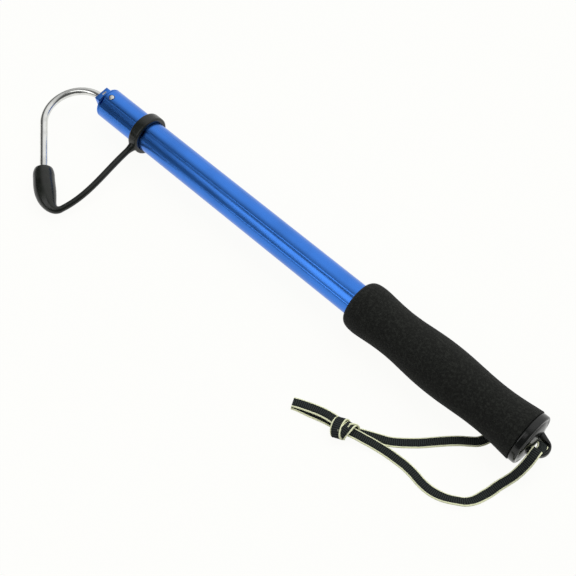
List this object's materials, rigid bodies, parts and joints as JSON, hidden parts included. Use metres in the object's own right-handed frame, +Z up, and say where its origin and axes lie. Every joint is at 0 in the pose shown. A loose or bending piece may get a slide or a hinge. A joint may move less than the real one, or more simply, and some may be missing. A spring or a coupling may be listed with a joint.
{
  "type": "telescopic fishing gaff",
  "caption": "Telescopic fishing gaff: steel hook on nested fluted blue tubes, rubber point guard on a strap, waisted foam grip and a lanyard at the butt.",
  "frame": {"origin": "on the floor, under the middle of the box round the gaff without its lanyard", "axes": "+X along the pole towards the butt, +Z up; the gaff lies on its side, pushed together, with the hook out to -Y"},
  "size_m": [0.4186, 0.1044, 0.0352],
  "materials": {
    "blue_anodised": "satin anodised blue",
    "rivet_steel": "satin",
    "hook_steel": "polished stainless steel",
    "white_nylon": "matte nylon",
    "black_rubber": "satin moulded rubber",
    "black_foam": "matte closed-cell foam",
    "black_plastic": "gloss moulded plastic",
    "lanyard_webbing": "woven, black with pale yellow edges"
  },
  "bodies": {
    "handle": {"outer_tube": "blue_anodised", "outer_collar": "blue_anodised", "outer_rivet_top": "rivet_steel", "outer_rivet_under": "rivet_steel", "foam_grip": "black_foam", "butt_cap": "black_plastic", "lanyard_strand_near": "lanyard_webbing", "lanyard_strand_far": "lanyard_webbing", "lanyard_knot": "lanyard_webbing", "lanyard_tail_upper": "lanyard_webbing", "lanyard_tail_lower": "lanyard_webbing"},
    "middle_section": {"middle_tube": "blue_anodised", "middle_collar": "blue_anodised", "middle_rivet_top": "rivet_steel", "middle_rivet_under": "rivet_steel", "middle_tail_bush": "white_nylon"},
    "hook_section": {"inner_tube": "blue_anodised", "inner_tail_bush": "white_nylon", "hook_holder": "blue_anodised", "hook_pin": "rivet_steel", "hook": "hook_steel", "guard_ring": "black_rubber"},
    "point_guard": {"guard_cap": "black_rubber", "guard_strap": "black_rubber"}
  },
  "joints": [
    {"name": "middle_slide", "type": "slide", "parent": "handle", "child": "middle_section", "axis": [-1, 0, 0], "range_m": [0, 0.29]},
    {"name": "hook_slide", "type": "slide", "parent": "middle_section", "child": "hook_section", "axis": [-1, 0, 0], "range_m": [0, 0.287]},
    {"name": "guard_pull", "type": "slide", "parent": "hook_section", "child": "point_guard", "axis": [0.757, -0.6477, -0.0859], "range_m": [0, 0.029]}
  ]
}
